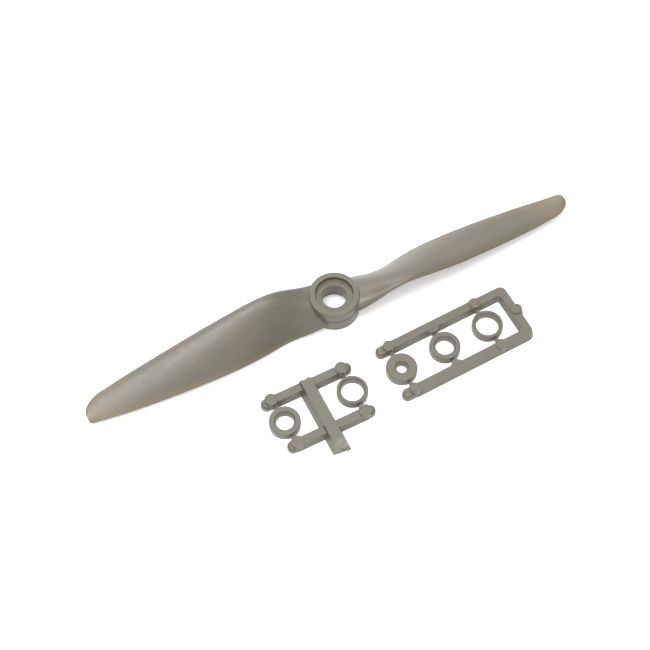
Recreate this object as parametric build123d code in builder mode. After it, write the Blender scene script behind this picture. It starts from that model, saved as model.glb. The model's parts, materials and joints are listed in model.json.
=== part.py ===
from build123d import *
import os
from math import cos, radians, sin

# Two-blade model-aircraft propeller of moulded glass-filled nylon, left-hand (reverse) pitch,
# lying on its hub beside the two moulding frames that hold its five shaft adapter rings.
#
# Origin: hub axis, at the hub's rear face.  +Z is forward out of the hub's front face,
# +X runs out along one blade, +Y is that blade's trailing side.  Units are millimetres.

# ---------------------------------------------------------------- propeller sizes
span = 139.7                    # 5.5 in, tip to tip
tip_radius = span / 2
hub_diameter = 13.2
hub_height = 7.4
hub_edge_chamfer = 0.25
hub_groove_height = 4.2         # middle of the groove where the mould halves meet
hub_groove_width = 0.35
hub_groove_depth = 0.25
bore_diameter = 6.35            # 1/4 in shaft
recess_diameter = 10.2          # shallow seat in the front face
recess_depth = 1.2
bore_chamfer = 0.2              # eased edge where the bore meets the recess floor
pocket_diameter = 8.1           # rear pocket that takes one adapter ring
pocket_depth = 2.5
tail_thickness = 0.35           # trailing edge of the blade
cut_margin = 5.0                # how far each cut runs on past the face it opens through
radius_tolerance = 0.01         # for picking an edge by its radius

# Control points of the aerofoil's two curves, from nose to tail.  The first number is a
# fraction of the chord from its middle, the second a fraction of the greatest thickness.
upper_controls = [(-0.5, 0.75), (0.0, 1.2)]
lower_controls = [(-0.5, -0.35), (0.1, -0.3)]

# Blade stations: radius, chord, blade angle in degrees, mid-chord offset along Y,
# mid-chord height above the hub's rear face, greatest thickness.
blade_stations = [
    (0.0, 10.6, 10.0, -0.50, 3.75, 3.40),
    (4.0, 11.6, 14.0, -0.60, 3.95, 3.30),
    (8.0, 12.4, 22.5, -0.75, 4.35, 3.10),
    (12.0, 13.2, 34.0, -1.12, 4.95, 2.80),
    (16.0, 13.9, 39.0, -1.22, 5.40, 2.50),
    (20.5, 14.2, 36.2, -0.98, 5.42, 2.30),
    (26.0, 14.0, 30.5, -0.74, 5.05, 2.10),
    (30.0, 13.7, 27.3, -0.66, 4.67, 1.95),
    (34.0, 13.3, 24.8, -0.62, 4.32, 1.82),
    (39.0, 12.6, 22.5, -0.58, 3.95, 1.67),
    (44.0, 11.8, 20.5, -0.57, 3.58, 1.52),
    (49.0, 10.9, 18.6, -0.60, 3.20, 1.38),
    (54.0, 9.9, 17.0, -0.63, 2.87, 1.25),
    (58.0, 9.0, 16.0, -0.64, 2.63, 1.12),
    (62.0, 7.9, 15.0, -0.65, 2.44, 1.00),
    (66.0, 6.6, 14.3, -0.58, 2.34, 0.85),
    (68.2, 5.1, 14.0, -0.15, 2.28, 0.72),
    (69.3, 3.8, 14.0, 0.25, 2.20, 0.60),
    (tip_radius, 2.3, 14.0, 0.55, 2.12, 0.48),
]

# ---------------------------------------------------------------- adapter ring sizes
ring_diameter = 8.0             # all five drop into the hub's rear pocket
ring_height = 2.5
ring_chamfer = 0.15
ring_mouth_chamfer = 0.35       # wider lead-in at the top of the hole

# ---------------------------------------------------------------- moulding frame sizes
bar_base_width = 3.2            # on the parting face, from which the sides lean in
bar_height = 2.5
bar_draft = 12.0                # degrees
boss_height = 2.85              # ejector-pin bosses
nub_width = 2.9                 # low rounded end of a bar, beyond its last boss
nub_height = 2.1
nub_rounding = 0.9
gate_root_width = 1.3           # gate stubs that held the rings, tapering to their tips
gate_tip_width = 0.6
gate_bottom = 0.7
gate_height = 1.1
gate_break = 0.12               # broken gap between a gate stub and its ring
stub_root_inset = 0.75          # a stub's root lies inside its bar, this far from the centreline

large_frame_centre = (19.55, -23.85)
large_frame_turn = 1.65         # degrees, as it lies beside the propeller
large_ring_spacing = 12.8
large_bar_offset = 6.8          # bar centreline from the line of rings
large_closed_end = 21.1         # centreline of the short bar that joins the two long ones
large_corner_radius = 2.2
large_inner_radius = 0.4
large_boss_diameter = 2.9
large_boss_reach = 12.8         # bosses stand beside the two outer rings
large_nub_reach = 3.6           # from the boss centre to the bar's end
end_boss = (21.6, 0.1)
end_boss_bulge = 4.1            # the bar swells round its boss
pad_root_width = 4.0            # the bars swell behind the middle ring's gates
pad_tip_width = 1.4
pad_depth = 0.45
pad_bottom = 0.4
pad_height = 2.0

small_frame_centre = (-16.85, -24.0)
small_frame_turn = -0.4
small_ring_offset = 9.5         # ring centre from the trunk's centreline
small_bar_offset = 6.65
small_boss_diameter = 3.3
small_bosses = [(-10.1, 6.65), (9.7, 6.65), (-9.2, -6.65), (9.7, -6.65)]
small_nub_reach = 2.8
trunk_base_width = 4.8
trunk_top_width = 2.9
trunk_height = 3.6
trunk_torn_end = 7.5            # broken off unevenly
trunk_cut_end = -13.15          # cut off at a slant, measured on the centreline
trunk_cut_slant = 7.0           # degrees
torn_lump_size = 0.9            # side of the two square lumps on the torn end
torn_lump_turn = 20.0           # degrees
torn_lump_places = [-1.1, 0.73] # from the trunk's centreline
torn_lump_bottom = 1.2
torn_lump_height = 1.8

os.makedirs("parts", exist_ok=True)


def blade_slice(radius, chord, angle, offset, height, thickness):
    """One aerofoil slice: round nose on the high side, thin square tail on the low side."""
    turn = radians(angle)
    plane = Plane(
        origin=(radius, offset, height),
        x_dir=(0, cos(turn), -sin(turn)),
        z_dir=(1, 0, 0),
    )
    nose = (-chord / 2, 0)
    tail_top = (chord / 2, tail_thickness / 2)
    tail_bottom = (chord / 2, -tail_thickness / 2)
    upper = [(along * chord, up * thickness) for along, up in upper_controls]
    lower = [(along * chord, up * thickness) for along, up in lower_controls]
    with BuildSketch(plane) as slice_sketch:
        with BuildLine():
            Bezier(nose, *upper, tail_top)
            Line(tail_top, tail_bottom)
            Bezier(tail_bottom, *reversed(lower), nose)
        make_face()
    return slice_sketch.sketch


# ---------------------------------------------------------------- propeller
with BuildPart() as blade:
    for station in blade_stations:
        add(blade_slice(*station))
    loft()

hub_radius = hub_diameter / 2
groove_bottom = hub_groove_height - hub_groove_width / 2

with BuildPart() as propeller:
    with BuildSketch(Plane.XZ):
        with BuildLine():
            Polyline(
                (0, 0),
                (hub_radius - hub_edge_chamfer, 0),
                (hub_radius, hub_edge_chamfer),
                (hub_radius, groove_bottom),
                (hub_radius - hub_groove_depth, groove_bottom),
                (hub_radius - hub_groove_depth, groove_bottom + hub_groove_width),
                (hub_radius, groove_bottom + hub_groove_width),
                (hub_radius, hub_height - hub_edge_chamfer),
                (hub_radius - hub_edge_chamfer, hub_height),
                (0, hub_height),
                close=True,
            )
        make_face()
    revolve(axis=Axis.Z)
    add(blade.part)
    add(blade.part.rotate(Axis.Z, 180))
    with BuildSketch(Plane.XY.offset(hub_height - recess_depth)):
        Circle(recess_diameter / 2)
    extrude(amount=recess_depth + cut_margin, mode=Mode.SUBTRACT)
    with BuildSketch(Plane.XY.offset(pocket_depth)):
        Circle(pocket_diameter / 2)
    extrude(amount=-(pocket_depth + cut_margin), mode=Mode.SUBTRACT)
    with BuildSketch(Plane.XY.offset(-cut_margin)):
        Circle(bore_diameter / 2)
    extrude(amount=hub_height + 2 * cut_margin, mode=Mode.SUBTRACT)
    round_edges = propeller.edges().filter_by(GeomType.CIRCLE)
    bore_edges = round_edges.filter_by(
        lambda edge: abs(edge.radius - bore_diameter / 2) < radius_tolerance
    )
    chamfer(bore_edges.sort_by(Axis.Z)[-1], length=bore_chamfer)


# ---------------------------------------------------------------- adapter rings
large_base = Plane(
    origin=(large_frame_centre[0], large_frame_centre[1], 0),
    x_dir=Vector(1, 0, 0).rotate(Axis.Z, large_frame_turn),
    z_dir=(0, 0, 1),
)
small_base = Plane(
    origin=(small_frame_centre[0], small_frame_centre[1], 0),
    x_dir=Vector(1, 0, 0).rotate(Axis.Z, small_frame_turn),
    z_dir=(0, 0, 1),
)


def hole_mouth(ring):
    """The edge of the hole in a ring's top face."""
    top_edges = ring.edges().filter_by(GeomType.CIRCLE).group_by(Axis.Z)[-1]
    return top_edges.sort_by(SortBy.RADIUS)[0]


def adapter_ring(base, distance, bore):
    """A plain bush that narrows the hub's rear pocket to a thinner shaft."""
    with BuildPart() as ring:
        with BuildSketch(base):
            with Locations((distance, 0)):
                Circle(ring_diameter / 2)
                Circle(bore / 2, mode=Mode.SUBTRACT)
        extrude(amount=ring_height)
        mouth = hole_mouth(ring)
        round_edges = ring.edges().filter_by(GeomType.CIRCLE)
        chamfer([edge for edge in round_edges if edge != mouth], length=ring_chamfer)
        chamfer(hole_mouth(ring), length=ring_mouth_chamfer)
    return ring.part


# name, frame that holds it, place along that frame's line of rings, bore
adapter_rings = [
    ("adapter_ring_3_0", large_base, -large_ring_spacing, 3.0),
    ("adapter_ring_5_0", large_base, 0, 5.0),
    ("adapter_ring_6_1", large_base, large_ring_spacing, 6.1),
    ("adapter_ring_4_8", small_base, -small_ring_offset, 4.76),
    ("adapter_ring_6_0", small_base, small_ring_offset, 6.0),
]


# ---------------------------------------------------------------- shared frame features
def bar_nubs(base, bosses, reach):
    """Low rounded bar ends, each running outward along X from its boss."""
    with BuildSketch(base) as plan:
        for x, y in bosses:
            outward = 1 if x > 0 else -1
            with Locations((x + outward * (reach - nub_width / 2) / 2, y)):
                SlotCenterToCenter(reach - nub_width / 2, nub_width)
    extrude(plan.sketch, amount=nub_height)


def bosses_at(base, bosses, diameter):
    """Round ejector-pin bosses that stand just proud of the bars."""
    with BuildSketch(base) as plan:
        with Locations(*bosses):
            Circle(diameter / 2)
    extrude(plan.sketch, amount=boss_height)


def stubs_at(base, bottom, height, ring_places, root, tip, root_width, tip_width):
    """Tapered stubs on both bars, pointing at each ring; root and tip are distances along Y."""
    with BuildSketch(base.offset(bottom)) as plan:
        for x in ring_places:
            for side in (1, -1):
                with BuildLine():
                    Polyline(
                        (x - root_width / 2, side * root),
                        (x - tip_width / 2, side * tip),
                        (x + tip_width / 2, side * tip),
                        (x + root_width / 2, side * root),
                        close=True,
                    )
                make_face()
    extrude(plan.sketch, amount=height)


def gates_at(base, ring_places, bar_offset):
    """Gate stubs from both bars towards each ring, stopping at the break."""
    tip = ring_diameter / 2 + gate_break
    root = bar_offset - stub_root_inset
    stubs_at(base, gate_bottom, gate_height, ring_places, root, tip, gate_root_width, gate_tip_width)


# ---------------------------------------------------------------- large moulding frame
large_bosses = [(-large_boss_reach, large_bar_offset), (-large_boss_reach, -large_bar_offset)]
large_side_bosses = [(large_boss_reach, large_bar_offset), (large_boss_reach, -large_bar_offset)]
outer_width = 2 * large_bar_offset + bar_base_width
inner_width = 2 * large_bar_offset - bar_base_width
outer_end = large_closed_end + bar_base_width / 2
inner_end = large_closed_end - bar_base_width / 2
open_end = -large_boss_reach

with BuildPart() as large_frame:
    bar_nubs(large_base, large_bosses, large_nub_reach)
    fillet(large_frame.edges().group_by(Axis.Z)[-1], radius=nub_rounding)
    with BuildSketch(large_base):
        with Locations(((open_end + outer_end) / 2, 0)):
            outer = Rectangle(outer_end - open_end, outer_width)
        fillet(outer.vertices().group_by(Axis.X)[-1], radius=large_corner_radius)
        gap_length = inner_end - open_end + bar_base_width
        with Locations((inner_end - gap_length / 2, 0)):
            RectangleRounded(gap_length, inner_width, large_inner_radius, mode=Mode.SUBTRACT)
    extrude(amount=bar_height, taper=bar_draft)
    with BuildSketch(large_base):
        with Locations(end_boss):
            Circle(end_boss_bulge / 2)
    extrude(amount=bar_height, taper=bar_draft)
    pad_root = large_bar_offset - stub_root_inset
    pad_tip = inner_width / 2 - pad_depth
    stubs_at(large_base, pad_bottom, pad_height, [0], pad_root, pad_tip, pad_root_width, pad_tip_width)
    bosses_at(large_base, large_bosses + large_side_bosses + [end_boss], large_boss_diameter)
    gates_at(large_base, (-large_ring_spacing, 0, large_ring_spacing), large_bar_offset)

# ---------------------------------------------------------------- small moulding frame
trunk_section = Plane(
    origin=small_base.from_local_coords((0, trunk_torn_end, 0)),
    x_dir=small_base.x_dir,
    z_dir=-small_base.y_dir,
)
trunk_length = trunk_torn_end - trunk_cut_end
cut_place = Location((0, trunk_cut_end, 0), (0, 0, -trunk_cut_slant))
cut_waste = 2 * trunk_base_width

with BuildPart() as small_frame:
    bar_nubs(small_base, small_bosses, small_nub_reach)
    fillet(small_frame.edges().group_by(Axis.Z)[-1], radius=nub_rounding)
    with BuildSketch(small_base):
        for left, right in (small_bosses[:2], small_bosses[2:]):
            with Locations(((left[0] + right[0]) / 2, left[1])):
                Rectangle(right[0] - left[0], bar_base_width)
    extrude(amount=bar_height, taper=bar_draft)
    with BuildSketch(trunk_section) as section:
        with BuildLine():
            Polyline(
                (-trunk_base_width / 2, 0),
                (trunk_base_width / 2, 0),
                (trunk_top_width / 2, trunk_height),
                (-trunk_top_width / 2, trunk_height),
                close=True,
            )
        make_face()
    extrude(section.sketch, amount=trunk_length + cut_margin)
    with Locations(small_base.location * cut_place):
        Box(
            cut_waste,
            cut_waste,
            cut_waste,
            align=(Align.CENTER, Align.MAX, Align.CENTER),
            mode=Mode.SUBTRACT,
        )
    with BuildSketch(small_base.offset(torn_lump_bottom)):
        with Locations(*[(x, trunk_torn_end) for x in torn_lump_places]):
            Rectangle(torn_lump_size, torn_lump_size, rotation=torn_lump_turn)
    extrude(amount=torn_lump_height)
    bosses_at(small_base, small_bosses, small_boss_diameter)
    gates_at(small_base, (-small_ring_offset, small_ring_offset), small_bar_offset)

# ---------------------------------------------------------------- write the pieces
pieces = [
    ("propeller", propeller.part),
    ("large_ring_frame", large_frame.part),
    ("small_ring_frame", small_frame.part),
]
for name, base, distance, bore in adapter_rings:
    pieces.append((name, adapter_ring(base, distance, bore)))

for name, piece in pieces:
    piece.label = name
    export_step(piece, f"parts/{name}.step")
    print(f"{name}: volume {piece.volume:.1f} mm3, valid {piece.is_valid}")
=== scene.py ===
import json
from math import atan2, cos, pi, radians, sin, tan
from random import Random

import bmesh
import bpy
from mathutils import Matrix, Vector, noise
from mathutils.bvhtree import BVHTree


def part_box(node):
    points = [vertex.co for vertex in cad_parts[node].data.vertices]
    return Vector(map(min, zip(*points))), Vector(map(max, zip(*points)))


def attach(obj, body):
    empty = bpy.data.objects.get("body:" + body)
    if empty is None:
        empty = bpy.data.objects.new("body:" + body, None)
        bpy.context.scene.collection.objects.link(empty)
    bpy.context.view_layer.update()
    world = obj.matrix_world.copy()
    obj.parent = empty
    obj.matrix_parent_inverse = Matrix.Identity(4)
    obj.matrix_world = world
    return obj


# A two-blade moulded nylon propeller lying beside the two moulding frames of its adapter rings.
# The CAD nodes keep their shapes and get moulded-plastic materials.  The pieces made here are
# what moulding leaves behind: flash, ejector-pin witness rings, torn gate necks, the trunk's
# rough ends, turned rings on the hub, and plain ticks where the real blades carry lettering.

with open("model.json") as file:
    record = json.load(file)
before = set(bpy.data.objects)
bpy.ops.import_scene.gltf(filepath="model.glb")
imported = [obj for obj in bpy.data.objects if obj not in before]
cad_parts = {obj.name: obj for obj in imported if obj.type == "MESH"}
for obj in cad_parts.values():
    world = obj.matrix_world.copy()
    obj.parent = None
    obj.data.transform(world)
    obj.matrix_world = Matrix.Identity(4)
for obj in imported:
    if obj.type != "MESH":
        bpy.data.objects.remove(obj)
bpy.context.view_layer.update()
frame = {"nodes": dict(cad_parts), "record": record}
MM = 0.001

# ---------------------------------------------------------------- camera, floor and light
CAMERA_PLACE = Vector((-91.96, -172.83, 362.96)) * MM
CAMERA_AIM = Vector((-4.44, -3.39, 0.0)) * MM
CAMERA_FIELD = 23.24            # degrees, across the picture
CAMERA_CLIP = (0.01, 20.0)
WHITE = (1, 1, 1, 1)
FLOOR_DROP = 0.03 * MM          # keeps the floor clear of the faces that rest on it
FLOOR_HALF = 6.0
FLOOR_COLOUR = (0.86, 0.86, 0.86, 1)
FLOOR_ROUGHNESS = 0.9
FLOOR_SPECULAR = 0.1
FLOOR_GLOW = 0.30               # a white table lit softly from below, so shadows stay faint
STUDIO_GLOW = 0.41              # light from the studio's white walls
# Softboxes: place and side in metres, power in watts.  All of them face the hub.
SOFTBOXES = {
    "overhead_right": ((0.12, -0.22, 1.0), 0.5, 3.6),
    "overhead_left": ((-0.30, -0.05, 1.0), 0.5, 6.4),
    "overhead_back": ((0.10, 0.45, 1.1), 0.9, 4.0),
    "back": ((0.15, 1.0, 0.7), 0.9, 8.3),
    "front": ((-0.30, -1.0, 0.6), 0.8, 3.5),
}


def add_camera():
    data = bpy.data.cameras.new("camera")
    data.sensor_fit = "HORIZONTAL"
    data.angle = radians(CAMERA_FIELD)
    data.clip_start, data.clip_end = CAMERA_CLIP
    camera = bpy.data.objects.new("camera", data)
    bpy.context.collection.objects.link(camera)
    camera.location = CAMERA_PLACE
    camera.rotation_euler = (CAMERA_AIM - CAMERA_PLACE).to_track_quat("-Z", "Y").to_euler()
    bpy.context.scene.camera = camera


def add_softbox(name, place, side, power):
    data = bpy.data.lights.new(name, "AREA")
    data.shape = "SQUARE"
    data.size = side
    data.energy = power
    light = bpy.data.objects.new(name, data)
    bpy.context.collection.objects.link(light)
    light.location = Vector(place)
    light.rotation_euler = (-Vector(place)).to_track_quat("-Z", "Y").to_euler()


def add_floor():
    mesh = bpy.data.meshes.new("floor")
    h = FLOOR_HALF
    mesh.from_pydata([(-h, -h, 0), (h, -h, 0), (h, h, 0), (-h, h, 0)], [], [(0, 1, 2, 3)])
    floor = bpy.data.objects.new("floor", mesh)
    bpy.context.collection.objects.link(floor)
    floor.location.z = -FLOOR_DROP
    material = bpy.data.materials.new("floor_white")
    material.use_nodes = True
    shader = material.node_tree.nodes["Principled BSDF"]
    shader.inputs["Base Color"].default_value = FLOOR_COLOUR
    shader.inputs["Emission Color"].default_value = WHITE
    shader.inputs["Emission Strength"].default_value = FLOOR_GLOW
    shader.inputs["Roughness"].default_value = FLOOR_ROUGHNESS
    shader.inputs["Specular IOR Level"].default_value = FLOOR_SPECULAR
    mesh.materials.append(material)


def add_world():
    world = bpy.data.worlds.new("studio")
    world.use_nodes = True
    background = world.node_tree.nodes["Background"]
    background.inputs["Color"].default_value = WHITE
    background.inputs["Strength"].default_value = STUDIO_GLOW
    bpy.context.scene.world = world


add_camera()
add_world()
add_floor()
for softbox, (softbox_place, softbox_side, softbox_power) in SOFTBOXES.items():
    add_softbox(softbox, softbox_place, softbox_side, softbox_power)
bpy.context.scene.view_settings.view_transform = "Standard"


# ---------------------------------------------------------------- materials
class NodeWriter:
    """Adds shader nodes to one material and links them."""

    def __init__(self, name):
        self.material = bpy.data.materials.new(name)
        self.material.use_nodes = True
        self.tree = self.material.node_tree
        self.shader = self.tree.nodes["Principled BSDF"]

    def node(self, kind, settings=None, **inputs):
        made = self.tree.nodes.new(kind)
        for key, value in (settings or {}).items():
            setattr(made, key, value)
        for key, value in inputs.items():
            self.put(made.inputs[key.replace("_", " ")], value)
        return made

    def put(self, socket, value):
        if isinstance(value, bpy.types.NodeSocket):
            self.tree.links.new(value, socket)
        else:
            socket.default_value = value

    def math(self, operation, first, second=0.0, clamp=False):
        made = self.tree.nodes.new("ShaderNodeMath")
        made.operation = operation
        made.use_clamp = clamp
        self.put(made.inputs[0], first)
        self.put(made.inputs[1], second)
        return made.outputs[0]

    def noise(self, place, scale, detail=3.0, roughness=0.6):
        made = self.node(
            "ShaderNodeTexNoise", Vector=place, Scale=scale, Detail=detail, Roughness=roughness
        )
        return made.outputs["Fac"]

    def stretched(self, place, stretch, turn=0.0):
        mapping = self.node("ShaderNodeMapping", Vector=place, Scale=stretch, Rotation=(0, 0, turn))
        return mapping.outputs["Vector"]

    def remap(self, value, low, high, to_low=0.0, to_high=1.0):
        made = self.tree.nodes.new("ShaderNodeMapRange")
        for index, number in enumerate((value, low, high, to_low, to_high)):
            self.put(made.inputs[index], number)
        return made.outputs[0]

    def mix(self, factor, first, second):
        """Blends two colours: a mix node's colours are its inputs 6 and 7 and its output 2."""
        made = self.tree.nodes.new("ShaderNodeMix")
        made.data_type = "RGBA"
        self.put(made.inputs["Factor"], factor)
        self.put(made.inputs[6], first)
        self.put(made.inputs[7], second)
        return made.outputs[2]

    def vector_math(self, operation, first, second):
        made = self.tree.nodes.new("ShaderNodeVectorMath")
        made.operation = operation
        self.put(made.inputs[0], first)
        self.put(made.inputs[1], second)
        return made.outputs["Value"]

    def link(self, output, shader_input):
        self.tree.links.new(output, self.shader.inputs[shader_input])


# Colours of the nylon, linear.
NYLON = (0.107, 0.096, 0.073, 1)
NYLON_WARM = (0.117, 0.101, 0.073, 1)
NYLON_COOL = (0.099, 0.095, 0.075, 1)
NYLON_EDGE = (0.165, 0.148, 0.120, 1)
# The next colour is painted light showing through thin nylon, and also the colour of the fibres on
# torn ends.
NYLON_FIBRE_AND_PAINTED_GLOW = (0.190, 0.150, 0.084, 1)
NYLON_WHITENED = (0.270, 0.255, 0.220, 1)
# Noise scales, per metre.
CLOUD_SCALE = 95.0
MOTTLE_SCALE = 520.0
STREAK_SCALE = 1500.0
PIT_SCALE = 4200.0
PATCH_SCALE = 900.0
FIBRE_SCALE = 3600.0
# How strongly each effect shows in the colour.
MOTTLE_STRENGTH = 0.55
STREAK_STRENGTH = 0.30
EDGE_STRENGTH = 0.45
FIBRE_STRENGTH = 0.5

EDGE_RADIUS = 0.18 * MM         # how far in from an edge the rubbing reaches
EDGE_TURN = 0.25                # 1 minus the cosine that counts as fully rubbed
THIN_RAYS = (0.05, 0.85)        # share of inward rays that meet no far wall: thin, solid
NYLON_ROUGHNESS = (0.30, 0.42)
STREAK_ROUGHNESS = 0.06
BROKEN_ROUGHNESS = (0.62, 0.82)
NYLON_IOR = 1.53
STREAK_DEPTH = 0.03 * MM
WAVE_DEPTH = 0.25 * MM
FIBRE_DEPTH = 0.05 * MM


def painted_glow_where_thin(w, distance):
    """1 where the wall is thinner than distance, 0 where it is solid: there painted light showing
    through lightens the colour.
    """
    inside = w.node("ShaderNodeAmbientOcclusion", {"inside": True, "samples": 8}, Distance=distance)
    return w.remap(inside.outputs["AO"], *THIN_RAYS, 1.0, 0.0)


def worn_edge(w):
    """1 along sharp outer edges, where handling has rubbed the skin pale."""
    bevel = w.node("ShaderNodeBevel", {"samples": 4}, Radius=EDGE_RADIUS)
    normal = w.node("ShaderNodeNewGeometry").outputs["Normal"]
    flatness = w.vector_math("DOT_PRODUCT", bevel.outputs["Normal"], normal)
    return w.remap(flatness, 1.0, 1.0 - EDGE_TURN)


def nearness(w, place, spot, near, far):
    """1 within near of a spot in the row frame, fading to 0 at far."""
    return w.remap(w.vector_math("DISTANCE", place, spot), near, far, 1.0, 0.0)


def nylon_skin(w, clouds, mottle, streaks, pits):
    """The moulded skin's gloss, and its fine grain on top of long shallow waves."""
    satin = w.remap(mottle, 0.3, 0.7, *NYLON_ROUGHNESS)
    dull = w.remap(streaks, 0.4, 0.7, 0.0, STREAK_ROUGHNESS)
    w.link(w.math("ADD", satin, dull), "Roughness")
    height = w.math("ADD", w.math("MULTIPLY", streaks, 0.6), w.math("MULTIPLY", pits, 0.4))
    grain = w.node("ShaderNodeBump", Height=height, Strength=0.35, Distance=STREAK_DEPTH)
    waves = w.node(
        "ShaderNodeBump",
        Height=clouds,
        Strength=0.25,
        Distance=WAVE_DEPTH,
        Normal=grain.outputs["Normal"],
    )
    w.link(waves.outputs["Normal"], "Normal")
    w.shader.inputs["IOR"].default_value = NYLON_IOR


def moulded_nylon(name, streak, streak_turn, glow_thickness_reach, painted_glow_strength, glow_and_whitened_spots=()):
    """Satin glass-filled nylon: cloudy colour, fibre streaks along the flow, pitted skin, and
    painted light showing through thin walls.

    Each spot is (place, near, far, colour, strength): a tip lightened with painted light showing
    through its thin nylon, or an end whitened by the strain of cutting it.
    """
    w = NodeWriter(name)
    place = w.node("ShaderNodeTexCoord").outputs["Object"]
    clouds = w.noise(place, CLOUD_SCALE)
    mottle = w.noise(place, MOTTLE_SCALE, 4.0, 0.7)
    streaks = w.noise(w.stretched(place, streak, streak_turn), STREAK_SCALE, 3.0, 0.65)
    pits = w.noise(place, PIT_SCALE, 2.0)

    colour = w.mix(w.remap(clouds, 0.35, 0.65), NYLON_COOL, NYLON_WARM)
    colour = w.mix(w.remap(mottle, 0.3, 0.7, 0.0, MOTTLE_STRENGTH), colour, NYLON)
    colour = w.mix(w.remap(streaks, 0.56, 0.78, 0.0, STREAK_STRENGTH), colour, NYLON_EDGE)
    patchy = w.remap(mottle, 0.42, 0.62, 0.25, 1.0)
    edge = w.math("MULTIPLY", worn_edge(w), patchy)
    colour = w.mix(w.math("MULTIPLY", edge, EDGE_STRENGTH), colour, NYLON_EDGE)
    # Painted light showing through thin walls: the colour is lightened where the wall is thin.
    thin = w.math("MULTIPLY", painted_glow_where_thin(w, glow_thickness_reach), painted_glow_strength)
    colour = w.mix(thin, colour, NYLON_FIBRE_AND_PAINTED_GLOW)
    for spot, near, far, pale, strength in glow_and_whitened_spots:
        faded = w.math("MULTIPLY", nearness(w, place, spot, near, far), patchy)
        colour = w.mix(w.math("MULTIPLY", faded, strength), colour, pale)
    w.link(colour, "Base Color")
    nylon_skin(w, clouds, mottle, streaks, pits)
    return w.material


def whitened_nylon(name, dark_share):
    """Nylon that was cut, torn or pinched off: stress-whitened, with darker nylon between."""
    w = NodeWriter(name)
    place = w.node("ShaderNodeTexCoord").outputs["Object"]
    patches = w.noise(place, PATCH_SCALE, 4.0, 0.7)
    fibres = w.noise(w.stretched(place, (1.0, 1.0, 0.25)), FIBRE_SCALE, 3.0, 0.7)
    white = w.remap(patches, dark_share - 0.1, dark_share + 0.1)
    colour = w.mix(white, NYLON, NYLON_WHITENED)
    colour = w.mix(w.remap(fibres, 0.5, 0.75, 0.0, FIBRE_STRENGTH), colour, NYLON_FIBRE_AND_PAINTED_GLOW)
    w.link(colour, "Base Color")
    w.link(w.remap(patches, 0.3, 0.7, *BROKEN_ROUGHNESS), "Roughness")
    bump = w.node("ShaderNodeBump", Height=fibres, Strength=0.6, Distance=FIBRE_DEPTH)
    w.link(bump.outputs["Normal"], "Normal")
    return w.material


# ---------------------------------------------------------------- places in the moulding frames
# Each moulding frame has a plan of its own: its centre is the middle of the frame's line of
# rings, X runs along that line, and sizes in it are in millimetres.
def ring_place(ring):
    """The middle of an adapter ring, on the floor."""
    low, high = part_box(ring)
    return Vector(((low[0] + high[0]) / 2, (low[1] + high[1]) / 2, 0))


def plan_through(first_ring, last_ring):
    """(centre, turn) of the plan of the moulding frame that holds these two rings at its ends."""
    first, last = ring_place(first_ring), ring_place(last_ring)
    along = last - first
    return (first + last) / 2, atan2(along.y, along.x)


def in_plan(plan, x, y, z=0.0):
    """A point given in millimetres in a moulding frame's plan, in metres in the model."""
    centre, turn = plan
    return centre + Vector((x * cos(turn) - y * sin(turn), x * sin(turn) + y * cos(turn), z)) * MM


LARGE_PLAN = plan_through("adapter_ring_3_0", "adapter_ring_6_1")
SMALL_PLAN = plan_through("adapter_ring_4_8", "adapter_ring_6_0")
TRUNK_BASE_HALF_WIDTH = 2.4
TRUNK_TOP_HALF_WIDTH = 1.45
TRUNK_CUT_END = -13.15          # on the centreline
TRUNK_CUT_SLANT = tan(radians(7.0))
TRUNK_TORN_END = 7.5
TRUNK_HEIGHT = 3.6

# ---------------------------------------------------------------- nylon of each kind of piece
ALONG_X = (0.16, 1.0, 1.0)      # stretches of the streaks
ALONG_Z = (1.0, 1.0, 0.3)
EVEN = (1.0, 1.0, 1.0)
FRAME_TURN = 0.03               # radians, about the large frame's turn
BLADE_LOW, BLADE_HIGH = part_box("propeller")
# Painted light showing through the thin blade tips.
TIP_PAINTED_GLOW = (2.0 * MM, 16.0 * MM, NYLON_FIBRE_AND_PAINTED_GLOW, 0.80)
PAINTED_GLOW_TIPS = [((x, 0, 0), *TIP_PAINTED_GLOW) for x in (BLADE_LOW[0], BLADE_HIGH[0])]
CUT_PLACE = tuple(in_plan(SMALL_PLAN, 0, TRUNK_CUT_END, TRUNK_HEIGHT))
PALE_CUT = [(CUT_PLACE, 0.6 * MM, 3.2 * MM, NYLON_WHITENED, 0.55)]

# After the streaks' stretch and turn: how thin a wall must be, and how strongly painted light
# showing through it lightens the colour.
BLADE_NYLON = moulded_nylon("blade_nylon", ALONG_X, 0.0, 1.0 * MM, 0.55, PAINTED_GLOW_TIPS)
FRAME_NYLON = moulded_nylon("frame_nylon", ALONG_X, FRAME_TURN, 0.5 * MM, 0.25, PALE_CUT)
MARK_NYLON = moulded_nylon("mark_nylon", EVEN, 0.0, 0.1 * MM, 0.0)
RING_NYLON = moulded_nylon("ring_nylon", ALONG_Z, 0.0, 0.5 * MM, 0.20)
FLASH_NYLON = whitened_nylon("flash_nylon", 0.62)
RUBBED_NYLON = whitened_nylon("rubbed_nylon", 0.56)
TORN_NYLON = whitened_nylon("torn_nylon", 0.44)

SLOT_MATERIALS = {
    "blade_nylon": BLADE_NYLON,
    "frame_nylon": FRAME_NYLON,
    "ring_nylon": RING_NYLON,
}
for subpart in frame["record"]["subparts"]:
    for material_slot in frame["nodes"][subpart["node"]].material_slots:
        material_slot.material = SLOT_MATERIALS[subpart["material_slot"]]


# ---------------------------------------------------------------- mesh helpers
def surface_of(node):
    """The CAD node's mesh as a tree that rays can be cast at."""
    mesh = frame["nodes"][node].data
    return BVHTree.FromPolygons([v.co for v in mesh.vertices], [p.vertices for p in mesh.polygons])


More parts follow.
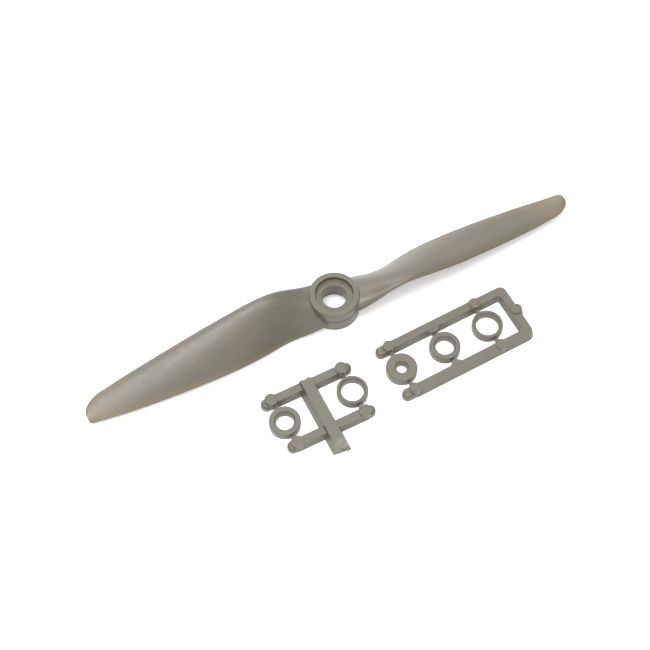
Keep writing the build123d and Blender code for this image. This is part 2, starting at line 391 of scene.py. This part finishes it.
def make_piece(name, bm, material, body, smooth=True):
    """Turns a bmesh into a named piece that rides on a body."""
    bmesh.ops.recalc_face_normals(bm, faces=bm.faces)
    mesh = bpy.data.meshes.new(name)
    bm.to_mesh(mesh)
    bm.free()
    for polygon in mesh.polygons:
        polygon.use_smooth = smooth
    mesh.materials.append(material)
    piece = bpy.data.objects.new(name, mesh)
    bpy.context.collection.objects.link(piece)
    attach(piece, body)


def add_tube(bm, points, radii, sides):
    """A closed tube along points, with a radius at each, whose ends are capped."""
    upright = 0.01              # below this, a step runs straight up and has no side of its own
    rings = []
    for index, point in enumerate(points):
        ahead = points[min(index + 1, len(points) - 1)]
        behind = points[max(index - 1, 0)]
        along = (ahead - behind).normalized()
        side = along.cross(Vector((0, 0, 1)))
        side = side.normalized() if side.length > upright else Vector((1, 0, 0))
        up = side.cross(along)
        ring = []
        for step in range(sides):
            turn = 2 * pi * step / sides
            ring.append(bm.verts.new(point + radii[index] * (side * cos(turn) + up * sin(turn))))
        rings.append(ring)
    for first, second in zip(rings, rings[1:]):
        for step in range(sides):
            after = (step + 1) % sides
            bm.faces.new((first[step], first[after], second[after], second[step]))
    bm.faces.new(list(reversed(rings[0])))
    bm.faces.new(rings[-1])


def add_lathe(bm, centre, profile, sides):
    """A closed ring of revolution about Z through centre, from a loop of (radius, height)."""
    loops = []
    for step in range(sides):
        turn = 2 * pi * step / sides
        loops.append([
            bm.verts.new(centre + Vector((radius * cos(turn), radius * sin(turn), height)))
            for radius, height in profile
        ])
    for step in range(sides):
        here, there = loops[step], loops[(step + 1) % sides]
        for index in range(len(profile)):
            after = (index + 1) % len(profile)
            bm.faces.new((here[index], there[index], there[after], here[after]))


# ---------------------------------------------------------------- flash along the blades
FLASH_START = 8.5 * MM
FLASH_END = 69.0 * MM
FLASH_STEPS = 90
FLASH_SIDES = 6
FLASH_RADIUS = 0.055 * MM
FLASH_UNEVENNESS = (0.75, 1.15)
FLASH_SEED = 11
OUTSIDE = 30 * MM               # rays start this far out, beyond the widest chord
COARSE_STEP = 0.12 * MM         # between the rays that first look for the edge
FINE_STEPS = 16                 # rays across the two coarse steps round what they found


def outermost(tree, x, side, low, high, steps):
    """The point of the mesh that stands furthest out along Y, on one side, in the slice at x."""
    best = None
    for index in range(steps + 1):
        height = low + (high - low) * index / steps
        hit = tree.ray_cast(Vector((x, side * OUTSIDE, height)), Vector((0, -side, 0)))[0]
        if hit is not None and (best is None or hit.y * side > best.y * side):
            best = hit
    return best


def edge_points(tree, sign, side):
    """Points along one edge of one blade, from the hub to the tip."""
    top = BLADE_HIGH.z
    points = []
    for index in range(FLASH_STEPS + 1):
        x = sign * (FLASH_START + (FLASH_END - FLASH_START) * index / FLASH_STEPS)
        found = outermost(tree, x, side, 0, top, int(top / COARSE_STEP)).z
        points.append(
            outermost(tree, x, side, found - COARSE_STEP, found + COARSE_STEP, FINE_STEPS)
        )
    return points


def add_flash():
    """The fine raised line that the mould's parting leaves along both edges of both blades."""
    tree = surface_of("propeller")
    rng = Random(FLASH_SEED)
    for blade, sign in (("right", 1), ("left", -1)):
        for edge, side in (("leading", -sign), ("trailing", sign)):
            points = edge_points(tree, sign, side)
            radii = [FLASH_RADIUS * rng.uniform(*FLASH_UNEVENNESS) for _ in points]
            bm = bmesh.new()
            add_tube(bm, points, radii, FLASH_SIDES)
            make_piece(f"{blade}_{edge}_flash", bm, FLASH_NYLON, "propeller")


add_flash()


# ---------------------------------------------------------------- ejector pins, gates and cut ends
# Sizes in millimetres, as in the frames' plans.
BOSS_HEIGHT = 2.85
LARGE_RING_SPACING = 12.8
LARGE_BAR_OFFSET = 6.8
LARGE_BOSSES = [
    (-LARGE_RING_SPACING, LARGE_BAR_OFFSET),
    (-LARGE_RING_SPACING, -LARGE_BAR_OFFSET),
    (LARGE_RING_SPACING, LARGE_BAR_OFFSET),
    (LARGE_RING_SPACING, -LARGE_BAR_OFFSET),
    (21.6, 0.1),
]
SMALL_RING_OFFSET = 9.5
SMALL_BAR_OFFSET = 6.65
SMALL_BOSSES = [
    (-10.1, SMALL_BAR_OFFSET),
    (9.7, SMALL_BAR_OFFSET),
    (-9.2, -SMALL_BAR_OFFSET),
    (9.7, -SMALL_BAR_OFFSET),
]
# The marks' section: (distance from the mark's outer rim, height above the boss).
PIN_MARK_PROFILE = [(-0.24, -0.02), (-0.17, 0.05), (-0.06, 0.065), (0, -0.02)]
PIN_MARK_SIDES = 40
LARGE_PIN_RADIUS = 1.36
SMALL_PIN_RADIUS = 1.56

RING_RADIUS = 4.0
GATE_MIDDLE = 1.25              # height of a gate's middle above the floor
GATE_BREAK = 0.12
GATES = {
    "adapter_ring_3_0": (LARGE_PLAN, -LARGE_RING_SPACING),
    "adapter_ring_5_0": (LARGE_PLAN, 0.0),
    "adapter_ring_6_1": (LARGE_PLAN, LARGE_RING_SPACING),
    "adapter_ring_4_8": (SMALL_PLAN, -SMALL_RING_OFFSET),
    "adapter_ring_6_0": (SMALL_PLAN, SMALL_RING_OFFSET),
}
# From inside the ring's rim to just short of the gate stub.
NECK_REACHES = (RING_RADIUS - 0.10, RING_RADIUS + 0.03, RING_RADIUS + GATE_BREAK - 0.02)
NECK_RADII = (0.36, 0.30, 0.25)
NECK_UNEVENNESS = ((0.9, 1.1), (0.8, 1.1))
NECK_SIDES = 10
NECK_SEED = 5


def add_pin_marks(name, plan, bosses, radius, body):
    """Low witness rings that the ejector pins leave round the rims of the bosses' tops."""
    bm = bmesh.new()
    profile = [((radius + out) * MM, height * MM) for out, height in PIN_MARK_PROFILE]
    for x, y in bosses:
        add_lathe(bm, in_plan(plan, x, y, BOSS_HEIGHT), profile, PIN_MARK_SIDES)
    make_piece(name, bm, RUBBED_NYLON, body)


def add_gate_neck(bm, plan, x, side, rng):
    """A torn neck of nylon on a ring's rim, just filling the break to its gate."""
    points = [in_plan(plan, x, side * reach, GATE_MIDDLE) for reach in NECK_REACHES]
    uneven = [1.0] + [rng.uniform(*spread) for spread in NECK_UNEVENNESS]
    radii = [radius * MM * share for radius, share in zip(NECK_RADII, uneven)]
    add_tube(bm, points, radii, NECK_SIDES)


def add_gate_necks():
    """Two torn necks on each adapter ring, one towards each bar of its frame."""
    rng = Random(NECK_SEED)
    for ring, (plan, x) in GATES.items():
        bm = bmesh.new()
        for side in (1, -1):
            add_gate_neck(bm, plan, x, side, rng)
        make_piece(f"{ring}_gate_necks", bm, RUBBED_NYLON, ring)


add_pin_marks(
    "large_frame_pin_marks", LARGE_PLAN, LARGE_BOSSES, LARGE_PIN_RADIUS, "large_ring_frame"
)
add_pin_marks(
    "small_frame_pin_marks", SMALL_PLAN, SMALL_BOSSES, SMALL_PIN_RADIUS, "small_ring_frame"
)
add_gate_necks()


# ---------------------------------------------------------------- broken ends of the trunk
SKIN_COLUMNS = 34
SKIN_ROWS = 26
SKIN_LEAST = 0.02               # millimetres, that the skin stands out everywhere
SKIN_TOP_GAP = 0.02             # millimetres, that it stays below the trunk's top
SKIN_SINK = 0.06                # millimetres, that its back lies inside the trunk
SKIN_BACK_WIDTH = 0.98
ROUGH_SCALE = 1.6               # noise scales, per millimetre
FIBRE_CLUMP_SCALE = 5.5
FIBRE_SEED_SHIFT = 9.0
ROUGH_FRACTAL = (0.7, 2.1, 5)   # falloff, step between octaves, number of octaves
SIDE_FADE = 7                   # how steeply the skin thins towards its sides
END_FADE = 9                    # and towards its top and bottom
END_STAND = 0.15                # share of the roughness left at top and bottom
MEAN_STAND = 0.35               # shares of the roughness's depth
ROUGH_SWING = 0.45


def skin_point(across, height, end, slant, stand):
    """A point standing off one end of the small frame's trunk; across runs from -1 to 1."""
    lean = (TRUNK_BASE_HALF_WIDTH - TRUNK_TOP_HALF_WIDTH) * height / TRUNK_HEIGHT
    x = across * (TRUNK_BASE_HALF_WIDTH - lean)
    return in_plan(SMALL_PLAN, x, end - slant * x + stand, height)


def skin_stand(across, up, height, depth, fibres, seed):
    """How far the rough skin stands out at one point; it thins towards the skin's border."""
    x = across * TRUNK_BASE_HALF_WIDTH
    rough = noise.fractal(Vector((x * ROUGH_SCALE, height * ROUGH_SCALE, seed)), *ROUGH_FRACTAL)
    clump = Vector((x * FIBRE_CLUMP_SCALE, height * FIBRE_CLUMP_SCALE, seed + FIBRE_SEED_SHIFT))
    fibre = max(0.0, noise.noise(clump)) ** 2
    end_border = min(up, 1 - up) * END_FADE + END_STAND
    border = min(1.0, (1 - abs(across)) * SIDE_FADE, end_border)
    share = MEAN_STAND + ROUGH_SWING * rough + fibres * fibre
    return max(depth * share * border, SKIN_LEAST)


def close_skin(bm, front, back):
    """Joins two grids of points into one closed skin."""
    for row in range(SKIN_ROWS):
        for column in range(SKIN_COLUMNS):
            bm.faces.new((front[row][column], front[row][column + 1],
                          front[row + 1][column + 1], front[row + 1][column]))
            bm.faces.new((back[row][column], back[row + 1][column],
                          back[row + 1][column + 1], back[row][column + 1]))
    for row in range(SKIN_ROWS):
        bm.faces.new((front[row][0], front[row + 1][0], back[row + 1][0], back[row][0]))
        bm.faces.new((front[row][-1], back[row][-1], back[row + 1][-1], front[row + 1][-1]))
    for column in range(SKIN_COLUMNS):
        after = column + 1
        bm.faces.new((front[0][column], back[0][column], back[0][after], front[0][after]))
        bm.faces.new((front[-1][column], front[-1][after], back[-1][after], back[-1][column]))


def broken_face(name, material, end, slant, outward, depth, fibres, seed):
    """A rough skin over one end of the trunk: a grid whose points stand out by uneven amounts."""
    bm = bmesh.new()
    front, back = [], []
    for row in range(SKIN_ROWS + 1):
        up = row / SKIN_ROWS
        height = min(up * TRUNK_HEIGHT, TRUNK_HEIGHT - SKIN_TOP_GAP)
        front_row, back_row = [], []
        for column in range(SKIN_COLUMNS + 1):
            across = 2 * column / SKIN_COLUMNS - 1
            stand = outward * skin_stand(across, up, height, depth, fibres, seed)
            place = skin_point(across, height, end, slant, stand)
            inner = skin_point(across * SKIN_BACK_WIDTH, height, end, slant, -outward * SKIN_SINK)
            front_row.append(bm.verts.new(place))
            back_row.append(bm.verts.new(inner))
        front.append(front_row)
        back.append(back_row)
    close_skin(bm, front, back)
    make_piece(name, bm, material, "small_ring_frame")


# Material, end, slant, direction, depth of the roughness, share of fibres, seed.
broken_face("trunk_cut_face", TORN_NYLON, TRUNK_CUT_END, TRUNK_CUT_SLANT, -1, 0.30, 2.2, 3.0)
broken_face("trunk_torn_face", FRAME_NYLON, TRUNK_TORN_END, 0.0, 1, 0.35, 0.6, 17.0)


# ---------------------------------------------------------------- hub rings and size ticks
RECESS_FLOOR = 6.2 * MM
HUB_TOP = 7.4 * MM
# Radius in millimetres and height.
TURNED_RINGS = [(3.75, RECESS_FLOOR), (4.35, RECESS_FLOOR), (4.80, RECESS_FLOOR), (5.75, HUB_TOP)]
TURNED_RING_SIDES = 96
RING_HALF_WIDTH = 0.07 * MM
RING_RISE = 0.045 * MM
TICK_HALF_LENGTH = 0.75         # millimetres
TICK_HALF_WIDTH = 0.16          # millimetres
TICK_TOP_WIDTH = 0.6            # shares of the foot's size
TICK_TOP_LENGTH = 0.93
TICK_RISE = 0.10 * MM
OVERHEAD = 1.0                  # rays start this high, above everything
# Each row of ticks: where it starts and ends, in millimetres, and how many ticks it has.
TICK_ROWS = {
    "left_size_ticks": ((-12.9, 3.7), (-9.4, 3.3), 4),
    "right_size_ticks": ((8.9, -3.6), (12.2, -4.7), 5),
    "right_outer_size_ticks": ((16.6, -4.2), (19.4, -4.3), 4),
}


def add_turned_rings():
    """Faint raised rings on the hub's face, left by the lathe marks of the mould's insert."""
    bm = bmesh.new()
    for radius, height in TURNED_RINGS:
        middle = radius * MM
        profile = [
            (middle - RING_HALF_WIDTH, -RING_RISE / 2),
            (middle - RING_HALF_WIDTH / 3, RING_RISE),
            (middle + RING_HALF_WIDTH / 3, RING_RISE),
            (middle + RING_HALF_WIDTH, -RING_RISE / 2),
        ]
        add_lathe(bm, Vector((0, 0, height)), profile, TURNED_RING_SIDES)
    make_piece("hub_turned_rings", bm, MARK_NYLON, "propeller")


def add_tick(bm, tree, middle, along, across):
    """A low bar with sloped sides, laid on the blade."""
    width, length = along * TICK_HALF_WIDTH, across * TICK_HALF_LENGTH
    base, top = [], []
    for u, v in ((-1, -1), (1, -1), (1, 1), (-1, 1)):
        foot = middle + u * width + v * length
        crest = middle + u * width * TICK_TOP_WIDTH + v * length * TICK_TOP_LENGTH
        for loop, point, rise in ((base, foot, -TICK_RISE / 2), (top, crest, TICK_RISE)):
            above = Vector((point.x * MM, point.y * MM, OVERHEAD))
            hit, normal, _, _ = tree.ray_cast(above, Vector((0, 0, -1)))
            loop.append(bm.verts.new(hit + normal * rise))
    bm.faces.new(top)
    bm.faces.new(list(reversed(base)))
    for index in range(len(base)):
        after = (index + 1) % len(base)
        bm.faces.new((base[index], base[after], top[after], top[index]))


def add_size_ticks():
    """Plain raised ticks where the real blade carries its moulded lettering."""
    tree = surface_of("propeller")
    for name, (start, end, count) in TICK_ROWS.items():
        first, last = Vector((*start, 0)), Vector((*end, 0))
        along = (last - first).normalized()
        across = Vector((-along.y, along.x, 0))
        bm = bmesh.new()
        for index in range(count):
            add_tick(bm, tree, first.lerp(last, index / (count - 1)), along, across)
        make_piece(name, bm, MARK_NYLON, "propeller", smooth=False)


add_turned_rings()
add_size_ticks()
